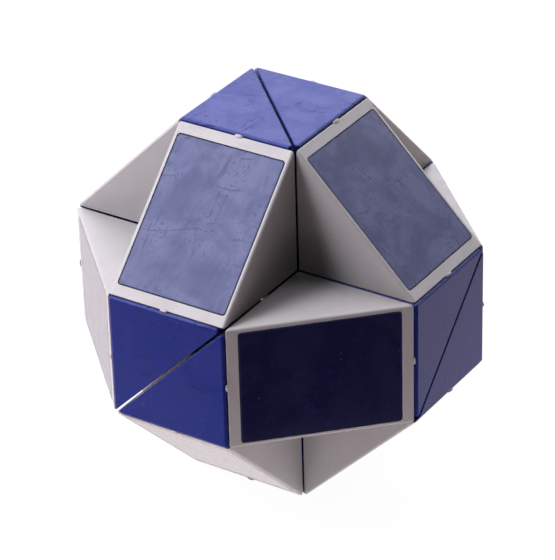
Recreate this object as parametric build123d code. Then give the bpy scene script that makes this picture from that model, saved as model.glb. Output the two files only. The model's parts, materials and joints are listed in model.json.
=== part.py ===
from build123d import *
import math
import os

# A twisty snake puzzle of 24 wedges, each half a cube, joined square face to square face
# by spring-loaded bolts and folded into a ball. White and blue wedges alternate.
# The frame's origin is under the middle of the ball, on the surface that it stands on.

# Driving dimensions, in millimetres

pitch = 22.0              # side of the cube that a wedge is half of
turning_gap = 0.18        # between the square faces of joined wedges
slant_gap = 0.44          # between the sloping faces of two wedges in one cube
end_wall = 1.6            # wall behind a square face
side_wall = 1.15          # wall behind a triangular face
white_side_round = 0.5    # radius on the long edges of a white wedge's sloping face
white_edge_round = 0.1    # radius on its other edges
blue_side_round = 0.15    # the same two radii on a blue wedge
blue_edge_round = 0.5

cover_thickness = 1.1     # plate that closes a wedge's sloping face
rim_end = 2.0             # rim round the plate, beside a square face
rim_side = 0.7            # rim round the plate, beside a triangular face
cover_clearance = 0.1     # between the plate and the pocket that it sits in
cover_corner = 0.5        # radius of the plate's corners
cover_chamfer = 0.12      # on the plate's upper edge

bolt_radius = 1.25        # shank that two wedges turn on
bolt_running_fit = 0.05   # between the shank and the blue wedge's hole, on the radius
thread_clearance = 0.02   # between the shank and the white wedge's boss, on the radius
boss_wall = 1.2           # of the boss that holds the shank's end
boss_floor = 0.8          # left under the shank's end
head_radius = 2.5
head_thickness = 1.0
head_round = 0.25
slot_width = 0.7          # of the cross in the head
slot_length = 3.4
slot_depth = 0.5
spring_wire = 0.45        # diameter
spring_clearance = 0.2    # between the spring and the shank
spring_turns = 3.0
inner_clearance = 0.2     # under the cover, above a head or a boss

click_circle = 6.6        # radius of the circle that the four click bumps stand on
click_bump_radius = 0.8
click_clearance = 0.05    # between a bump and the face that it turns past
click_margin = 0.15       # that a dimple is wider than its bump
click_dimple_depth = 0.35

# The quarter turn, left or right, that each hinge stands at when the snake is a ball

ball_turns = "LRRLRLLRLRRLLRRLRLLRLRR"

# Sizes that follow

wedge_count = len(ball_turns) + 1
square_inset = turning_gap / 2
slant_inset = slant_gap / 2
diagonal = math.sqrt(2)

slant_middle = (pitch - diagonal * slant_inset) / 2
slant_length = diagonal * (pitch - diagonal * slant_inset - 2 * square_inset)
wedge_height = pitch - 2 * square_inset
pocket_length = slant_length - 2 * rim_end
pocket_width = wedge_height - 2 * rim_side
pocket_corner = cover_corner + cover_clearance

shank_hole_radius = bolt_radius + bolt_running_fit
thread_hole_radius = bolt_radius + thread_clearance
boss_radius = bolt_radius + boss_wall
wall_back = square_inset + end_wall                       # from the hinge's plane
cover_back = slant_inset + cover_thickness + inner_clearance
head_back = pitch / 2 - head_radius - diagonal * cover_back
spring_length = head_back - head_thickness - wall_back
boss_back = pitch / 2 - boss_radius - diagonal * cover_back
spring_radius = bolt_radius + spring_clearance + spring_wire / 2
bump_height = turning_gap - click_clearance
ball_middle = 1.5 * pitch - square_inset


# A wedge's own frame: Z runs along the right-angle edge, through its middle, and the two
# square faces stand on X and on Y. A face plane's X points from the face's middle to the
# right-angle edge, and its Z out of the wedge.

entry_face = Plane(origin=(pitch / 2, 0, 0), x_dir=(-1, 0, 0), z_dir=(0, -1, 0))
exit_face = Plane(origin=(0, pitch / 2, 0), x_dir=(0, -1, 0), z_dir=(-1, 0, 0))
slant_face = Plane(origin=(slant_middle, slant_middle, 0), x_dir=(1, -1, 0), z_dir=(1, 1, 0))


def wedge_block(square, slant, side):
    """Half a cube, set back from its square, sloping and triangular faces."""
    tip = pitch - diagonal * slant - square
    outline = Polyline((square, square), (tip, square), (square, tip), close=True)
    return extrude(make_face(outline), amount=pitch / 2 - side, both=True)


def on_face(face, solid, depth):
    """A solid built on Z, moved to a face plane with its start at a depth below it."""
    return face.location * Pos(0, 0, -depth) * solid


def rod(radius, length):
    """A cylinder that starts at the plane it is built on."""
    return Cylinder(radius, length, align=(Align.CENTER, Align.CENTER, Align.MIN))


def click_ring(solid):
    """Four copies of a solid on the click circle, towards a square face's corners."""
    return PolarLocations(click_circle, 4, start_angle=45) * solid


def pocket_outline(length, width, corner):
    return slant_face * RectangleRounded(length, width, corner)


def cavity():
    return wedge_block(wall_back, slant_inset + cover_thickness, square_inset + side_wall)


def long_edges(block):
    """The two long edges of the sloping face."""
    return block.edges().filter_by(Axis((0, 0, 0), (1, -1, 0)))


def square_edges(block):
    """The edges of the two square faces, each once."""
    edges = ShapeList()
    for face in block.faces().filter_by(Axis.X) + block.faces().filter_by(Axis.Y):
        for edge in face.edges():
            if edge not in edges:
                edges.append(edge)
    return edges


def white_block():
    block = wedge_block(square_inset, slant_inset, square_inset)
    block = fillet(long_edges(block), white_side_round)
    return fillet(square_edges(block), white_edge_round)


def blue_block():
    block = wedge_block(square_inset, slant_inset, square_inset)
    block = fillet(square_edges(block), blue_edge_round)
    return fillet(long_edges(block), blue_side_round)


def open_shell(block):
    """The hollow wedge, open at its sloping face, with a pocket for the cover plate."""
    outline = pocket_outline(pocket_length, pocket_width, pocket_corner)
    return block - cavity() - extrude(outline, amount=-cover_thickness)


def white_shell(faces):
    """Each hinge's square face has a boss behind it, for the bolt, and four click bumps."""
    shell = open_shell(white_block())
    room = cavity()
    boss = rod(boss_radius, boss_back - wall_back)
    bolt_hole = rod(thread_hole_radius, boss_back - boss_floor)
    bump = Cone(
        click_bump_radius,
        click_bump_radius - bump_height,
        bump_height,
        align=(Align.CENTER, Align.CENTER, Align.MIN),
    )
    for face in faces:
        shell += room & on_face(face, boss, boss_back)
    for face in faces:
        shell -= on_face(face, bolt_hole, boss_back - boss_floor)
        for spot in click_ring(bump):
            shell += on_face(face, spot, square_inset)
    return shell


def blue_shell(faces):
    """Each hinge's square face has the bolt's hole and four dimples for the bumps."""
    shell = open_shell(blue_block())
    bolt_hole = rod(shank_hole_radius, wall_back)
    dimple = rod(click_bump_radius + click_margin, click_dimple_depth)
    for face in faces:
        shell -= on_face(face, bolt_hole, wall_back)
        for spot in click_ring(dimple):
            shell -= on_face(face, spot, square_inset + click_dimple_depth)
    return shell


def cover():
    """The plate that lies flush in the sloping face."""
    outline = pocket_outline(
        pocket_length - 2 * cover_clearance,
        pocket_width - 2 * cover_clearance,
        cover_corner,
    )
    plate = extrude(outline, amount=-cover_thickness)
    rim = plate.faces().sort_by(Axis((0, 0, 0), (1, 1, 0)))[-1].edges()
    return chamfer(rim, cover_chamfer)


def bolt():
    """A cross-slotted bolt on Z, its head up in the blue wedge, the hinge's plane at 0."""
    foot = boss_back - boss_floor
    shank = Pos(0, 0, -foot) * rod(bolt_radius, foot + head_back - head_thickness)
    head = Pos(0, 0, head_back - head_thickness) * rod(head_radius, head_thickness)
    top = head.edges().sort_by(Axis.Z)[-1]
    head = fillet(top, head_round)
    cross = Box(slot_length, slot_width, 2 * slot_depth) + Box(slot_width, slot_length, 2 * slot_depth)
    return shank + head - Pos(0, 0, head_back) * cross


def spring():
    """The coil between the blue wedge's wall and the bolt's head."""
    wire = spring_wire / 2
    rise = spring_length - 2 * spring_wire
    path = Helix(pitch=rise / spring_turns, height=rise, radius=spring_radius)
    start = Plane(origin=path @ 0, z_dir=path % 0)
    coil = sweep(start * Circle(wire), path=path, is_frenet=True)
    return Pos(0, 0, wall_back + spring_wire) * coil


def ball_places():
    """Where each wedge's frame stands in the ball, walking from hinge to hinge."""
    start = Plane(origin=(pitch / 2, -pitch / 2, ball_middle), x_dir=(0, -1, 0), z_dir=(0, 0, 1))
    places = [start.location]
    quarter = {"L": 90, "R": -90}
    over = Rot(X=180) * entry_face.location.inverse()
    for turn in ball_turns:
        places.append(places[-1] * exit_face.location * Rot(Z=quarter[turn]) * over)
    return places


def save(name, solids):
    export_step(Compound(solids), f"parts/{name}.step")


os.makedirs("parts", exist_ok=True)

places = ball_places()
one_cover = cover()
one_bolt = bolt()
one_spring = spring()

middle_faces = [entry_face, exit_face]
shells = {
    "first": white_shell([exit_face]),
    "white": white_shell(middle_faces),
    "blue": blue_shell(middle_faces),
    "last": blue_shell([entry_face]),
}

for index, place in enumerate(places):
    number = f"{index + 1:02d}"
    is_white = index % 2 == 0
    shell = shells["white" if is_white else "blue"]
    faces = middle_faces
    if index == 0:
        shell, faces = shells["first"], [exit_face]
    if index == wedge_count - 1:
        shell, faces = shells["last"], [entry_face]
    save(f"wedge_{number}_shell", [place * solid for solid in shell.solids()])
    save(f"wedge_{number}_cover", [place * solid for solid in one_cover.solids()])
    if is_white:
        seats = [place * face.location for face in faces]
        pieces = [seat * solid for seat in seats for solid in (one_bolt, one_spring)]
        save(f"wedge_{number}_spring_bolts", [s for piece in pieces for s in piece.solids()])
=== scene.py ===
import json
import math
import random

import bmesh
import bpy
from mathutils import Matrix, Vector

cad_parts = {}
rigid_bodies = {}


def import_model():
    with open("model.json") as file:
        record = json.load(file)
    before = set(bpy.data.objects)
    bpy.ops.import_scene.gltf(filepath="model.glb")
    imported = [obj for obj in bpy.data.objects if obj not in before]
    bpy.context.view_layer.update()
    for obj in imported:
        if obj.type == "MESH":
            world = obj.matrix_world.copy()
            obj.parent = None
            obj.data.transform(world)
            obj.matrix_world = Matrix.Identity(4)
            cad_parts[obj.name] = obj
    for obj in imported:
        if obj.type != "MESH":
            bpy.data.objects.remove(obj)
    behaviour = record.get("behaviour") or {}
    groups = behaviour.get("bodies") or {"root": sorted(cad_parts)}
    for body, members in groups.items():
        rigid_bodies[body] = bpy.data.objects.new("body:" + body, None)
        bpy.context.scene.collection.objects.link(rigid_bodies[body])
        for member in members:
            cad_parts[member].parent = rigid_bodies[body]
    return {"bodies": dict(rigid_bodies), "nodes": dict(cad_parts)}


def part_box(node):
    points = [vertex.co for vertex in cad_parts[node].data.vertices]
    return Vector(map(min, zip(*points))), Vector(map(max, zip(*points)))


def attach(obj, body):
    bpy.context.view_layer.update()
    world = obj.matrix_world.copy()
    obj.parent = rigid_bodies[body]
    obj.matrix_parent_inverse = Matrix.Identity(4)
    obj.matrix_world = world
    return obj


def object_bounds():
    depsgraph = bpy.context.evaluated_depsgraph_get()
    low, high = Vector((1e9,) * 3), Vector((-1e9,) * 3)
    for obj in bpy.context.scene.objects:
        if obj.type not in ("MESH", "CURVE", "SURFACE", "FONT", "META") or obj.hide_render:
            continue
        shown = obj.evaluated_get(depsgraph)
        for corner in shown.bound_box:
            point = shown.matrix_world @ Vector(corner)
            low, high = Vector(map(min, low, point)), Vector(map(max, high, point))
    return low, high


# A twisty snake puzzle of 24 wedges folded into a ball: the moulded plastic, the cover
# plates with their haze and scuffs, the bolts, and the torn moulding gates.

bl_info = {
    "name": "Twisty Snake Puzzle",
    "version": (1, 0, 0),
    "blender": (4, 5, 0),
    "location": "3D View > Sidebar > Snake Puzzle",
    "description": "Finishes a twisty snake puzzle of 24 wedges and stages it as a ball",
    "category": "Object",
}

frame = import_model()
CAD_LOW, CAD_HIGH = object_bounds()
MIDDLE = (CAD_LOW + CAD_HIGH) / 2
WEDGES = sorted(frame["bodies"])
WHITE_WEDGES, BLUE_WEDGES = WEDGES[::2], WEDGES[1::2]
MM = 0.001
WHITE, BLACK = (1.0, 1.0, 1.0), (0.0, 0.0, 0.0)


def size(name, description, default):
    """A length in metres."""
    return bpy.props.FloatProperty(
        name=name, description=description, default=default, unit="LENGTH", precision=5)


def share(name, description, default):
    """A number from 0 to 1."""
    return bpy.props.FloatProperty(
        name=name, description=description, default=default, min=0.0, max=1.0, subtype="FACTOR")


def colour(name, description, default):
    """A linear red, green and blue."""
    return bpy.props.FloatVectorProperty(
        name=name, description=description, default=default, size=3, min=0.0, max=1.0, subtype="COLOR")


def angle(name, description, degrees):
    return bpy.props.FloatProperty(
        name=name, description=description, default=math.radians(degrees), subtype="ANGLE")


def power(name, description, watts):
    return bpy.props.FloatProperty(name=name, description=description, default=watts, unit="POWER")


class SnakeStage(bpy.types.PropertyGroup):
    azimuth: angle("Azimuth", "Camera's turn to the right of the front", 33.28)
    elevation: angle("Elevation", "Camera's height above the horizon", 29.97)
    roll: angle("Roll", "Camera's turn about its own axis", -1.65)
    distance: size("Distance", "From the middle of the ball to the camera", 0.495)
    slide_right: size("Slide Right", "Camera's move along its own right", -0.0002)
    slide_up: size("Slide Up", "Camera's move along its own up", 0.00046)
    lens: bpy.props.FloatProperty(
        name="Lens", description="Focal length in millimetres", default=191.2, min=1.0)
    floor_reach: size("Floor Reach", "Half the floor's width", 3.0)
    floor_colour: colour("Floor", "Pale floor round the ball", (1.0, 0.87, 0.87))
    floor_far: colour("Floor Far", "The floor where it runs out of the light", (0.34, 0.29, 0.29))
    # Painted reflection: gloss sees the floor glow in these colours, bright at the left, dark at the
    # right as a painted shadow.
    painted_reflection_left: colour("Mirrored Left", "The floor's left side, seen in gloss", (1.0, 0.91, 0.93))
    painted_reflection_right: colour("Mirrored Right", "Its right side, seen in gloss", (0.05, 0.04, 0.045))
    floor_glow: share("Floor Glow", "Light that comes up through the floor under the ball", 0.45)
    floor_shadow: share("Floor Shadow", "How much of the ball's shadow shows on the floor", 0.15)
    key_power: power("Key Power", "Soft lamp at the front left, in watts", 1.33)
    back_power: power("Back Power", "Wide soft lamp behind, in watts", 2.9)
    right_power: power("Right Power", "Lamp behind the right, for gloss alone, in watts", 0.6)
    top_power: power("Top Power", "Soft lamp overhead, in watts", 1.25)
    left_power: power("Left Power", "Soft lamp at the left, in watts", 0.95)
    lamp_colour: colour("Lamps", "Colour of the soft lamps", (0.93, 0.94, 1.0))
    ambient: share("Ambient", "Even light from all sides", 0.012)
    surround: share("Surround", "How bright gloss shows the surround", 0.45)


# Whether a lamp lights matt surfaces, and whether gloss shows it
EVERYTHING, MATT, GLOSS = (True, True), (True, False), (False, True)

# Each lamp: the setting of its power, its width and depth, its place from the middle of the
# ball, and what it lights, in metres. The key is split in two, for matt and for gloss.
LAMPS = {
    "key": ("key_power", 0.20, 0.20, (-0.26, -0.25, 0.37), MATT),
    "key_glow": ("key_power", 0.36, 0.36, (-0.25, -0.26, 0.37), GLOSS),
    "back": ("back_power", 0.95, 0.45, (-0.11, 0.55, 0.33), EVERYTHING),
    "right_glow": ("right_power", 0.55, 0.45, (0.50, 0.50, 0.33), GLOSS),
    "top": ("top_power", 0.35, 0.35, (-0.10, 0.16, 0.54), EVERYTHING),
    "left": ("left_power", 0.40, 0.30, (-0.44, -0.20, 0.13), EVERYTHING),
}


class SnakeWhite(bpy.types.PropertyGroup):
    plastic: colour("Plastic", "White plastic", (0.79, 0.735, 0.745))
    tint: colour("Tint", "Where the plastic has yellowed or is grimy", (0.66, 0.59, 0.575))
    edge: colour("Edge", "Rubbed edges", (0.84, 0.79, 0.79))
    scuffs: share("Scuffs", "How scuffed a white wedge is", 0.2)
    roughness: share("Roughness", "Moulded matt finish", 0.42)
    # Painted shade: the white turns black to bounced light, which darkens recesses and inner corners.
    painted_recess_shade: share("Soak", "How much of its light the white keeps from other matt surfaces", 1.0)


class SnakeBlue(bpy.types.PropertyGroup):
    plastic: colour("Plastic", "Blue wedge's plastic", (0.010, 0.026, 0.285))
    cover: colour("Cover", "Cover plate's plastic", (0.003, 0.005, 0.075))
    # The film's lighter blue is partly real handling haze and partly painted sheen, as it gathers on
    # faces that point up.
    film: colour("Film", "Haze of handling on the blue plastic", (0.20, 0.22, 0.54))
    thin_film: colour("Thin Film", "The haze on a cover plate where it is thin", (0.045, 0.065, 0.40))
    even_film: colour("Even Film", "The haze on a blue wedge where it is thin", (0.15, 0.17, 0.49))
    stroke: colour("Stroke", "Scuff strokes through the haze", (0.012, 0.018, 0.15))
    speck: colour("Speck", "Pale specks of dust", (0.55, 0.56, 0.70))
    edge: colour("Edge", "Rubbed blue edges", (0.030, 0.050, 0.330))
    cover_haze: share("Cover Haze", "How far the film clouds a cover plate", 0.5)
    shell_haze: share("Shell Haze", "How far the film clouds a blue wedge", 0.5)
    cover_scuffs: share("Cover Scuffs", "How scuffed a cover plate is", 0.9)
    shell_scuffs: share("Shell Scuffs", "How scuffed a blue wedge is", 0.3)
    cover_gloss: share("Cover Gloss", "Clear gloss over a cover plate", 0.85)
    cover_specular: share("Cover Specular", "Shine of a cover plate under its gloss", 0.06)
    shell_specular: share("Shell Specular", "Shine of a blue wedge", 0.17)
    roughness: share("Roughness", "Polished finish under the film", 0.24)


class SnakeSteel(bpy.types.PropertyGroup):
    steel: colour("Steel", "Bolts and springs", (0.56, 0.55, 0.53))
    shade: share("Shade", "How bright the darker turned rings are, beside the steel", 0.8)


# A gate's nib starts as a cube of side 1 round the origin.
NIB_SEED = 11
NIB_CUTS = 5
NIB_LENGTHS = (0.6, 1.15)     # the shortest and the longest, beside the usual length
NIB_RAGGED = (0.75, 1.15)     # the same for width and height, where it tore
NIB_TORN = 0.4                # from the origin to where the torn part starts, up or outwards
NIB_TAPER = 0.55              # width and height lost at the ends
NIB_TAPER_POWER = 2.5


class SnakeNibs(bpy.types.PropertyGroup):
    length: size("Length", "Torn gate, along the wedge's edge", 0.0015)
    width: size("Width", "Torn gate, across the edge", 0.0005)
    height: size("Height", "Torn gate, out of the sloping face", 0.0005)
    wander: size("Wander", "Farthest from the middle of the edge", 0.0013)
    reach: size("Reach", "From the slope's middle to its ends", 0.01512)
    depth: size("Depth", "From the cover's middle to its face", 0.00055)


# Node trees. Patterns read coordinates in millimetres.


def add(tree, kind, values=None, **attributes):
    """A new node with its attributes set and its inputs linked or set."""
    node = tree.nodes.new(kind)
    for key, value in attributes.items():
        setattr(node, key, value)
    for socket, value in (values or {}).items():
        if isinstance(value, bpy.types.NodeSocket):
            tree.links.new(value, node.inputs[socket])
        else:
            node.inputs[socket].default_value = value
    return node


def maths(tree, operation, *values, clamp=False):
    inputs = dict(enumerate(values))
    return add(tree, "ShaderNodeMath", inputs, operation=operation, use_clamp=clamp).outputs[0]


def vector_maths(tree, operation, values, output="Vector"):
    return add(tree, "ShaderNodeVectorMath", values, operation=operation).outputs[output]


def span(tree, value, low, high, to_low=0.0, to_high=1.0, kind="SMOOTHSTEP"):
    """A value moved from one range to another, held at the ends."""
    return add(tree, "ShaderNodeMapRange", {
        "Value": value, "From Min": low, "From Max": high, "To Min": to_low, "To Max": to_high,
    }, interpolation_type=kind).outputs["Result"]


def noise(tree, vector, scale, detail=2.0, roughness=0.5, distortion=0.0):
    return add(tree, "ShaderNodeTexNoise", {
        "Vector": vector, "Scale": scale, "Detail": detail, "Roughness": roughness,
        "Distortion": distortion,
    }).outputs["Fac"]


def blend(tree, factor, a, b):
    """Colour a, turning to colour b as the factor rises."""
    node = add(tree, "ShaderNodeMix", {"Factor": factor}, data_type="RGBA")
    for socket, value in (("A", a), ("B", b)):
        place = [s for s in node.inputs if s.name == socket and s.type == "RGBA"][0]
        if isinstance(value, bpy.types.NodeSocket):
            tree.links.new(value, place)
        else:
            place.default_value = (*value, 1.0)
    return [s for s in node.outputs if s.type == "RGBA"][0]


def new_group(name, inputs, outputs):
    """A shader node group: its tree, its input node and its output node."""
    tree = bpy.data.node_groups.new(name, "ShaderNodeTree")
    for label, kind, default in inputs:
        socket = tree.interface.new_socket(name=label, in_out="INPUT", socket_type=kind)
        if default is not None:
            socket.default_value = default
    for label, kind in outputs:
        tree.interface.new_socket(name=label, in_out="OUTPUT", socket_type=kind)
    return tree, tree.nodes.new("NodeGroupInput"), tree.nodes.new("NodeGroupOutput")


def stretched(tree, vector, direction, sizes, place=(0, 0, 0)):
    """Coordinates that draw a pattern out along a direction."""
    turn = Vector(direction).to_track_quat("X", "Z").to_euler()
    return add(tree, "ShaderNodeMapping", {
        "Vector": vector, "Location": place, "Rotation": turn, "Scale": sizes,
    }, vector_type="TEXTURE").outputs[0]


SCUFF_DIRECTIONS = ((0.97, 0.15, 0.12), (0.12, 0.70, 0.70), (0.62, 0.20, -0.74), (0.2, 0.96, -0.1))
SCUFF_PLACE = Vector((3.1, 7.7, 1.9))    # between one direction's pattern and the next
SCUFF_BEND = 3.4                         # how far strokes and hairs are bent aside
STROKE_SIZE = (17.0, 0.50, 0.50)
STROKE_START = 0.745                     # the noise above which a stroke shows
STROKE_DROP = -0.05                      # added to that where the plastic is fully scuffed
STROKE_EDGE = 0.035                      # from a stroke's start to its full strength
HAIR_SIZE = (30.0, 0.22, 0.22)
HAIR_START, HAIR_END = 0.72, 0.78        # the noise where a hair starts, and where it is full


def scuff_group():
    """Dark strokes and fine hair scratches, slightly bent, along a few directions."""
    tree, start, end = new_group(
        "scuffs",
        [("Position", "NodeSocketVector", None), ("Amount", "NodeSocketFloat", 0.5)],
        [("Strokes", "NodeSocketFloat"), ("Hairs", "NodeSocketFloat")])
    at = start.outputs["Position"]
    drift = add(tree, "ShaderNodeTexNoise", {"Vector": at, "Scale": 0.10, "Detail": 0.0})
    drift = vector_maths(tree, "SUBTRACT", {0: drift.outputs["Color"], 1: (0.5, 0.5, 0.5)})
    drift = vector_maths(tree, "SCALE", {0: drift, "Scale": SCUFF_BEND})
    curved = vector_maths(tree, "ADD", {0: at, 1: drift})
    threshold = maths(tree, "MULTIPLY_ADD", start.outputs["Amount"], STROKE_DROP, STROKE_START)
    strokes, hairs = 0.0, 0.0
    for number, direction in enumerate(SCUFF_DIRECTIONS):
        place = SCUFF_PLACE * number
        field = noise(tree, stretched(tree, curved, direction, STROKE_SIZE, place), 1.0, detail=0.0)
        mark = span(tree, maths(tree, "SUBTRACT", field, threshold), 0.0, STROKE_EDGE)
        strokes = maths(tree, "MAXIMUM", strokes, mark)
        field = noise(tree, stretched(tree, curved, direction, HAIR_SIZE, place), 1.0, detail=0.0)
        hairs = maths(tree, "MAXIMUM", hairs, span(tree, field, HAIR_START, HAIR_END))
    patches = span(tree, noise(tree, at, 0.16, detail=1.0), 0.42, 0.62)
    tree.links.new(maths(tree, "MULTIPLY", strokes, patches), end.inputs["Strokes"])
    tree.links.new(hairs, end.inputs["Hairs"])
    return tree


WIPE_DIRECTION = (0.3, 0.65, 0.7)
WIPE_SIZE = (9.0, 2.2, 2.2)
WIPE_PLACE = (4, 1, 7)


def film_group():
    """A cloudy film of handling, with specks of dust; it is thicker on what faces up, partly settled
    dust and partly painted sheen of the light from above.
    """
    tree, start, end = new_group(
        "handling_film",
        [("Position", "NodeSocketVector", None), ("Normal", "NodeSocketVector", None),
         ("Amount", "NodeSocketFloat", 0.5)],
        [("Mask", "NodeSocketFloat"), ("Clouds", "NodeSocketFloat"), ("Specks", "NodeSocketFloat")])
    at = start.outputs["Position"]
    cloud = noise(tree, at, 0.12, detail=3.0, roughness=0.6, distortion=0.6)
    wiped = stretched(tree, at, WIPE_DIRECTION, WIPE_SIZE, WIPE_PLACE)
    wipe = maths(tree, "MULTIPLY", noise(tree, wiped, 1.0, detail=3.0, roughness=0.6), 0.2)
    both = maths(tree, "ADD", maths(tree, "MULTIPLY", cloud, 0.85), wipe)
    tree.links.new(span(tree, both, 0.34, 0.66), end.inputs["Clouds"])
    cloudy = span(tree, both, 0.38, 0.64, 0.78, 1.22)
    # Painted sheen: the film thickens on faces that point up in the rest pose, where the light falls,
    # besides dust settling there.
    up = add(tree, "ShaderNodeSeparateXYZ", {0: start.outputs["Normal"]}).outputs["Z"]
    dust_and_painted_top_sheen = maths(tree, "MULTIPLY", cloudy, span(tree, up, 0.05, 0.72, 0.10, 1.0))
    mask = maths(tree, "MULTIPLY", dust_and_painted_top_sheen, start.outputs["Amount"], clamp=True)
    tree.links.new(mask, end.inputs["Mask"])
    cells = add(tree, "ShaderNodeTexVoronoi", {"Vector": at, "Scale": 0.9})
    dots = span(tree, cells.outputs["Distance"], 0.05, 0.09, 1.0, 0.0)
    few = span(tree, noise(tree, at, 0.35), 0.60, 0.66)
    tree.links.new(maths(tree, "MULTIPLY", dots, few), end.inputs["Specks"])
    return tree


def edge_group():
    """Where a surface turns over an edge, broken up a little."""
    tree, start, end = new_group(
        "edge_wear",
        [("Position", "NodeSocketVector", None), ("Radius", "NodeSocketFloat", 0.0003)],
        [("Mask", "NodeSocketFloat")])
    bevel = add(tree, "ShaderNodeBevel", {"Radius": start.outputs["Radius"]}, samples=6)
    flat = add(tree, "ShaderNodeNewGeometry").outputs["Normal"]
    alike = vector_maths(tree, "DOT_PRODUCT", {0: bevel.outputs[0], 1: flat}, "Value")
    turned = span(tree, alike, 0.90, 0.995, 1.0, 0.0)
    rubbed = noise(tree, start.outputs["Position"], 0.8, detail=3.0, roughness=0.6)
    broken = span(tree, rubbed, 0.35, 0.62, 0.25, 1.0)
    tree.links.new(maths(tree, "MULTIPLY", turned, broken, clamp=True), end.inputs["Mask"])
    return tree


def grain_group():
    """Height of the moulded surface: fine grain, and the slow dip of a cooled wall."""
    tree, start, end = new_group(
        "moulded_grain",
        [("Position", "NodeSocketVector", None), ("Grain", "NodeSocketFloat", 0.5),
         ("Waves", "NodeSocketFloat", 0.5)],
        [("Height", "NodeSocketFloat"), ("Mottle", "NodeSocketFloat")])
    at = start.outputs["Position"]
    fine = noise(tree, at, 5.5, detail=3.0, roughness=0.6)
    fine = maths(tree, "MULTIPLY", fine, start.outputs["Grain"])
    slow = maths(tree, "MULTIPLY", noise(tree, at, 0.11, detail=1.0), start.outputs["Waves"])
    tree.links.new(maths(tree, "ADD", fine, slow), end.inputs["Height"])
    mottle = noise(tree, at, 0.30, detail=4.0, roughness=0.62)
    tree.links.new(span(tree, mottle, 0.38, 0.70), end.inputs["Mottle"])
    return tree


GROUP_MAKERS = {"scuffs": scuff_group, "film": film_group, "edge": edge_group, "grain": grain_group}
GROUPS = {}


def use(tree, name, values):
    """One of the shared effects, built once and placed in a material."""
    if name not in GROUPS:
        GROUPS[name] = GROUP_MAKERS[name]()
    return add(tree, "ShaderNodeGroup", values, node_tree=GROUPS[name]).outputs


# Materials


GRAIN_DEPTH = 0.12 * MM
MATT_GRAIN, POLISHED_GRAIN = 0.05, 0.03
WHITE_RUBBED, BLUE_RUBBED = 0.25 * MM, 0.6 * MM    # how far wear reaches from an edge
WHITE_IOR = 1.49
GLOSS_ROUGHNESS = 0.12
SHEEN_OF_GLOSS = 0.25                              # dust on a glossy plate, as a share of its gloss
SHEEN_ROUGHNESS = 0.3


def new_material(name):
    """A material, its tree, its shader, its coordinates in millimetres and its own normal."""
    material = bpy.data.materials.new(name)
    material.use_nodes = True
    tree = material.node_tree
    place = add(tree, "ShaderNodeTexCoord").outputs
    at = add(tree, "ShaderNodeMapping", {"Vector": place["Object"], "Scale": (1 / MM,) * 3}).outputs[0]
    return material, tree, tree.nodes["Principled BSDF"], at, place["Normal"]


def set_bump(tree, shader, height, strength):
    bump = add(tree, "ShaderNodeBump", {"Strength": strength, "Distance": GRAIN_DEPTH, "Height": height})
    tree.links.new(bump.outputs[0], shader.inputs["Normal"])


def white_material(s):
    """Matt moulding, a little mottled, with rubbed edges and faint scuffs."""
    material, tree, shader, at, _ = new_material("white_moulded_plastic")
    grain = use(tree, "grain", {"Position": at, "Grain": MATT_GRAIN, "Waves": 0.6})
    edge = use(tree, "edge", {"Position": at, "Radius": WHITE_RUBBED})["Mask"]
    scuffs = use(tree, "scuffs", {"Position": at, "Amount": s.scuffs})
    base = blend(tree, maths(tree, "MULTIPLY", grain["Mottle"], 0.16), s.plastic, s.tint)
    base = blend(tree, maths(tree, "MULTIPLY", scuffs["Strokes"], 0.30), base, s.tint)
    base = blend(tree, maths(tree, "MULTIPLY", edge, 0.6), base, s.edge)
    # Painted shade: to bounced light the white is black, so recesses and inner corners stay darker.
    bounced = add(tree, "ShaderNodeLightPath").outputs["Is Diffuse Ray"]
    base = blend(tree, maths(tree, "MULTIPLY", bounced, s.painted_recess_shade), base, BLACK)
    tree.links.new(base, shader.inputs["Base Color"])
    rough = span(tree, grain["Mottle"], 0.0, 1.0, s.roughness - 0.04, s.roughness + 0.06)
    rough = maths(tree, "ADD", rough, maths(tree, "MULTIPLY", scuffs["Hairs"], 0.08))
    tree.links.new(rough, shader.inputs["Roughness"])
    shader.inputs["IOR"].default_value = WHITE_IOR
    set_bump(tree, shader, grain["Height"], strength=0.35)
    return material


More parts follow.
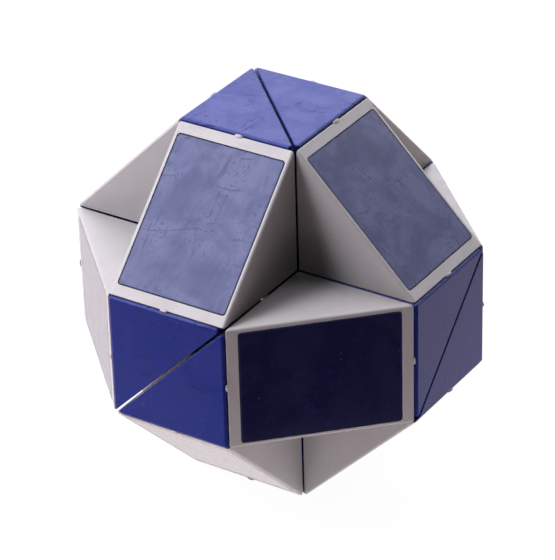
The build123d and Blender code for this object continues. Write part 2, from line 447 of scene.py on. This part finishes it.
def blue_material(s, name, plastic, thin_film, haze, scuffed, gloss, specular):
    """Polished moulding under a cloudy film, with strokes, hair scratches and specks."""
    material, tree, shader, at, normal = new_material(name)
    grain = use(tree, "grain", {"Position": at, "Grain": POLISHED_GRAIN, "Waves": 1.0})
    edge = use(tree, "edge", {"Position": at, "Radius": BLUE_RUBBED})["Mask"]
    scuffs = use(tree, "scuffs", {"Position": at, "Amount": scuffed})
    film = use(tree, "film", {"Position": at, "Normal": normal, "Amount": haze})
    # Real haze, and painted sheen where the mask is thicker on faces that point up.
    cloud = maths(tree, "MULTIPLY", film["Mask"], span(tree, edge, 0.0, 0.5, 1.0, 0.0))
    base = blend(tree, cloud, plastic, blend(tree, film["Clouds"], thin_film, s.film))
    base = blend(tree, maths(tree, "MULTIPLY", edge, 0.7), base, s.edge)
    faint_hairs = maths(tree, "MULTIPLY", scuffs["Hairs"], 0.35)
    marks = maths(tree, "MAXIMUM", scuffs["Strokes"], faint_hairs)
    base = blend(tree, maths(tree, "MULTIPLY", marks, 0.8), base, s.stroke)
    base = blend(tree, maths(tree, "MULTIPLY", film["Specks"], 0.5), base, s.speck)
    tree.links.new(base, shader.inputs["Base Color"])
    rough = span(tree, cloud, 0.0, 0.6, s.roughness, s.roughness + 0.20)
    rough = maths(tree, "ADD", rough, maths(tree, "MULTIPLY", grain["Mottle"], 0.05))
    tree.links.new(rough, shader.inputs["Roughness"])
    height = maths(tree, "SUBTRACT", grain["Height"], maths(tree, "MULTIPLY", scuffs["Hairs"], 0.02))
    set_bump(tree, shader, height, strength=0.3)
    shader.inputs["Specular IOR Level"].default_value = specular
    shader.inputs["Coat Weight"].default_value = gloss
    shader.inputs["Coat Roughness"].default_value = GLOSS_ROUGHNESS
    shader.inputs["Sheen Weight"].default_value = SHEEN_OF_GLOSS * gloss
    shader.inputs["Sheen Roughness"].default_value = SHEEN_ROUGHNESS
    return material


RING_DIRECTION = (0, 0, 1)
RING_SIZE = (4.0, 0.2, 0.2)


def steel_material(s):
    """Bright steel with fine turned rings."""
    material, tree, shader, at, _ = new_material("bolt_steel")
    rings = noise(tree, stretched(tree, at, RING_DIRECTION, RING_SIZE), 1.0, detail=3.0)
    base = blend(tree, span(tree, rings, 0.3, 0.7), s.steel, [part * s.shade for part in s.steel])
    tree.links.new(base, shader.inputs["Base Color"])
    tree.links.new(span(tree, rings, 0.3, 0.7, 0.22, 0.40), shader.inputs["Roughness"])
    shader.inputs["Metallic"].default_value = 1.0
    return material


# Where the floor's looks start and stop changing, in metres: out from the ball for its light and its
# glow, and to the right for its painted reflection, bright at the left and painted dark at the right.
FLOOR_LIGHT_ENDS = (0.07, 0.17)
FLOOR_GLOW_ENDS = (0.045, 0.095)
FLOOR_PAINTED_REFLECTION_ENDS = (0.015, 0.075)
FLOOR_BRIGHTNESS = 1.14


def floor_material(s):
    """A pale floor that looks white, with a share of the ball's shadow, and lights matt surfaces. Gloss
    shows a painted reflection of it, bright at the left and dark at the right as a painted shadow.
    """
    material = bpy.data.materials.new("pale_floor")
    material.use_nodes = True
    tree = material.node_tree
    tree.nodes.clear()
    at = add(tree, "ShaderNodeTexCoord").outputs["Object"]
    to_right = (math.sqrt(0.5), -math.sqrt(0.5), 0.0)
    across = vector_maths(tree, "DOT_PRODUCT", {0: at, 1: to_right}, "Value")
    reach = vector_maths(tree, "LENGTH", {0: at}, "Value")
    # Painted shade: the floor's matt colour darkens away from the ball, as the light falls off.
    lit = blend(tree, span(tree, reach, *FLOOR_LIGHT_ENDS), s.floor_colour, s.floor_far)
    # Painted reflection: a glowing ramp from bright at the left to dark at the right, a painted shadow
    # of the ball.
    painted_reflection = blend(tree, span(tree, across, *FLOOR_PAINTED_REFLECTION_ENDS), s.painted_reflection_left, s.painted_reflection_right)
    path = add(tree, "ShaderNodeLightPath").outputs
    glow = span(tree, reach, *FLOOR_GLOW_ENDS, s.floor_glow, 0.0)
    shining = maths(tree, "MAXIMUM", path["Is Glossy Ray"], maths(
        tree, "MULTIPLY", path["Is Camera Ray"], 1.0 - s.floor_shadow))
    shining = maths(tree, "MAXIMUM", shining, maths(
        tree, "MULTIPLY", path["Is Diffuse Ray"], glow))
    matt = add(tree, "ShaderNodeBsdfDiffuse", {"Color": lit})
    # Glossy rays get the painted reflection; camera rays get plain white.
    tint = blend(tree, path["Is Glossy Ray"], WHITE, painted_reflection)
    bright = add(tree, "ShaderNodeEmission", {"Color": tint, "Strength": FLOOR_BRIGHTNESS})
    mix = add(tree, "ShaderNodeMixShader", {0: shining, 1: matt.outputs[0], 2: bright.outputs[0]})
    out = add(tree, "ShaderNodeOutputMaterial")
    tree.links.new(mix.outputs[0], out.inputs["Surface"])
    return material


def paint(wedges, part, material):
    """Give one part of each of these wedges a material."""
    for wedge in wedges:
        materials = frame["nodes"][wedge + part].data.materials
        materials.clear()
        materials.append(material)


# Operators


class SNAKE_OT_stage(bpy.types.Operator):
    """Add the camera, the floor, the lamps and the white surround"""

    bl_idname = "snake.stage"
    bl_label = "Stage"

    def execute(self, context):
        s = context.scene.snake_stage
        self.add_camera(context, s)
        self.add_floor(context, s)
        self.add_lamps(context, s)
        self.add_surround(context, s)
        context.scene.view_settings.view_transform = "Standard"
        return {"FINISHED"}

    def add_camera(self, context, s):
        back = Vector((
            math.sin(s.azimuth) * math.cos(s.elevation),
            -math.cos(s.azimuth) * math.cos(s.elevation),
            math.sin(s.elevation)))
        right = Vector((math.cos(s.azimuth), math.sin(s.azimuth), 0))
        axes = Matrix((right, back.cross(right), back)).transposed() @ Matrix.Rotation(s.roll, 3, "Z")
        slide = axes @ Vector((s.slide_right, s.slide_up, 0))
        data = bpy.data.cameras.new("camera")
        data.lens = s.lens
        data.sensor_width = 36.0
        data.clip_start = 0.01
        data.clip_end = 100.0
        camera = bpy.data.objects.new("camera", data)
        camera.matrix_world = Matrix.Translation(MIDDLE + back * s.distance + slide) @ axes.to_4x4()
        context.scene.collection.objects.link(camera)
        context.scene.camera = camera

    def add_floor(self, context, s):
        bm = bmesh.new()
        bmesh.ops.create_grid(bm, x_segments=1, y_segments=1, size=s.floor_reach)
        mesh = bpy.data.meshes.new("floor")
        bm.to_mesh(mesh)
        bm.free()
        mesh.materials.append(floor_material(s))
        floor = bpy.data.objects.new("floor", mesh)
        context.scene.collection.objects.link(floor)

    def add_lamps(self, context, s):
        """Soft rectangular lamps, all turned to the middle of the ball."""
        for name, (setting, width, depth, place, lights) in LAMPS.items():
            data = bpy.data.lights.new(name, "AREA")
            data.shape = "RECTANGLE"
            data.size, data.size_y = width, depth
            data.energy = getattr(s, setting)
            data.color = s.lamp_colour
            lamp = bpy.data.objects.new(name, data)
            turn = Vector(place).to_track_quat("Z", "Y")
            lamp.matrix_world = Matrix.LocRotScale(MIDDLE + Vector(place), turn, None)
            lamp.visible_diffuse, lamp.visible_glossy = lights
            context.scene.collection.objects.link(lamp)

    def add_surround(self, context, s):
        world = bpy.data.worlds.new("surround")
        context.scene.world = world
        world.use_nodes = True
        tree = world.node_tree
        tree.nodes.clear()
        path = add(tree, "ShaderNodeLightPath").outputs
        seen = maths(tree, "MAXIMUM", path["Is Camera Ray"], maths(
            tree, "MULTIPLY", path["Is Glossy Ray"], s.surround))
        strength = span(tree, seen, 0.0, 1.0, s.ambient, 1.0, "LINEAR")
        light = add(tree, "ShaderNodeBackground", {"Color": (*WHITE, 1.0), "Strength": strength})
        out = add(tree, "ShaderNodeOutputWorld")
        tree.links.new(light.outputs[0], out.inputs["Surface"])


class SNAKE_OT_white_shells(bpy.types.Operator):
    """Finish the white wedges' shells in matt moulded plastic"""

    bl_idname = "snake.white_shells"
    bl_label = "White Shells"

    def execute(self, context):
        paint(WHITE_WEDGES, "_shell", white_material(context.scene.snake_white))
        return {"FINISHED"}


class SNAKE_OT_blue_shells(bpy.types.Operator):
    """Finish the blue wedges' shells in polished plastic"""

    bl_idname = "snake.blue_shells"
    bl_label = "Blue Shells"

    def execute(self, context):
        s = context.scene.snake_blue
        material = blue_material(
            s, "blue_moulded_plastic", s.plastic, s.even_film, s.shell_haze, s.shell_scuffs,
            gloss=0.0, specular=s.shell_specular)
        paint(BLUE_WEDGES, "_shell", material)
        return {"FINISHED"}


class SNAKE_OT_covers(bpy.types.Operator):
    """Finish the cover plates in hazy, scuffed dark blue plastic"""

    bl_idname = "snake.covers"
    bl_label = "Covers"

    def execute(self, context):
        s = context.scene.snake_blue
        material = blue_material(
            s, "scuffed_cover_plastic", s.cover, s.thin_film, s.cover_haze, s.cover_scuffs,
            gloss=s.cover_gloss, specular=s.cover_specular)
        paint(WEDGES, "_cover", material)
        return {"FINISHED"}


class SNAKE_OT_bolts(bpy.types.Operator):
    """Finish the bolts and springs in bright steel"""

    bl_idname = "snake.bolts"
    bl_label = "Bolts and Springs"

    def execute(self, context):
        paint(WHITE_WEDGES, "_spring_bolts", steel_material(context.scene.snake_steel))
        return {"FINISHED"}


class SNAKE_OT_gate_nibs(bpy.types.Operator):
    """Leave a torn moulding gate on both ends of each white wedge's sloping face"""

    bl_idname = "snake.gate_nibs"
    bl_label = "Gate Nibs"

    def execute(self, context):
        s = context.scene.snake_nibs
        draw = random.Random(NIB_SEED)
        for wedge in WHITE_WEDGES:
            along, out, middle = self.slope_of(wedge, s.depth)
            across = out.cross(along)
            bm = bmesh.new()
            for end in (-1, 1):
                nib = self.add_nib(bm, s, draw)
                place = middle + across * end * s.reach + along * draw.uniform(-s.wander, s.wander)
                axes = Matrix((along, across * end, out)).transposed()
                bmesh.ops.transform(bm, matrix=Matrix.Translation(place) @ axes.to_4x4(), verts=nib)
            bmesh.ops.recalc_face_normals(bm, faces=bm.faces)
            mesh = bpy.data.meshes.new("gate_nibs_" + wedge[-2:])
            bm.to_mesh(mesh)
            bm.free()
            mesh.shade_smooth()
            mesh.materials.append(bpy.data.materials["white_moulded_plastic"])
            piece = bpy.data.objects.new(mesh.name, mesh)
            context.scene.collection.objects.link(piece)
            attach(piece, wedge)
        return {"FINISHED"}

    def slope_of(self, wedge, depth):
        """The line of a wedge's right-angle edge, the way out of its slope, and the slope's middle."""
        low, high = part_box(wedge + "_shell")
        cover_low, cover_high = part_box(wedge + "_cover")
        cover_middle = (cover_low + cover_high) / 2
        lean = (low + high) / 2 - cover_middle
        signs = [0 if abs(part) < 0.1 * MM else math.copysign(1, part) for part in lean]
        out = Vector(signs).normalized()
        along = Vector([0 if sign else 1 for sign in signs])
        return along, out, cover_middle + out * depth

    def add_nib(self, bm, s, draw):
        """A stub of plastic round the origin, lower at its ends and ragged where it tore."""
        older = len(bm.verts)
        stub = bmesh.ops.create_cube(bm, size=1.0)["verts"]
        edges = {edge for vertex in stub for edge in vertex.link_edges}
        bmesh.ops.subdivide_edges(bm, edges=list(edges), cuts=NIB_CUTS, use_grid_fill=True)
        nib = list(bm.verts)[older:]
        length = s.length * draw.uniform(*NIB_LENGTHS)
        for vertex in nib:
            x, y, z = vertex.co
            taper = 1.0 - NIB_TAPER * (2 * abs(x)) ** NIB_TAPER_POWER
            ragged = draw.uniform(*NIB_RAGGED) if max(y, z) > NIB_TORN else 1.0
            vertex.co = (x * length, y * s.width * taper * ragged, z * s.height * taper * ragged)
        bmesh.ops.smooth_vert(
            bm, verts=nib, factor=0.5, use_axis_x=True, use_axis_y=True, use_axis_z=True)
        return nib


OPERATORS = (
    SNAKE_OT_stage,
    SNAKE_OT_white_shells,
    SNAKE_OT_blue_shells,
    SNAKE_OT_covers,
    SNAKE_OT_bolts,
    SNAKE_OT_gate_nibs,
)
SETTINGS = {
    "snake_stage": SnakeStage,
    "snake_white": SnakeWhite,
    "snake_blue": SnakeBlue,
    "snake_steel": SnakeSteel,
    "snake_nibs": SnakeNibs,
}


class SNAKE_PT_panel(bpy.types.Panel):
    """Sizes, colours and steps of the snake puzzle"""

    bl_idname = "SNAKE_PT_panel"
    bl_label = "Snake Puzzle"
    bl_space_type = "VIEW_3D"
    bl_region_type = "UI"
    bl_category = "Snake Puzzle"

    def draw(self, context):
        layout = self.layout
        for operator in OPERATORS:
            layout.operator(operator.bl_idname)
        for name, settings in SETTINGS.items():
            box = layout.box()
            group = getattr(context.scene, name)
            for key in settings.__annotations__:
                box.prop(group, key)


CLASSES = (*SETTINGS.values(), *OPERATORS, SNAKE_PT_panel)


def register():
    for cls in CLASSES:
        bpy.utils.register_class(cls)
    for name, group in SETTINGS.items():
        setattr(bpy.types.Scene, name, bpy.props.PointerProperty(type=group))


def unregister():
    for name in SETTINGS:
        delattr(bpy.types.Scene, name)
    for cls in reversed(CLASSES):
        bpy.utils.unregister_class(cls)


def main():
    register()
    bpy.ops.snake.stage()
    bpy.ops.snake.white_shells()
    bpy.ops.snake.blue_shells()
    bpy.ops.snake.covers()
    bpy.ops.snake.bolts()
    bpy.ops.snake.gate_nibs()


if __name__ == "__main__":
    main()
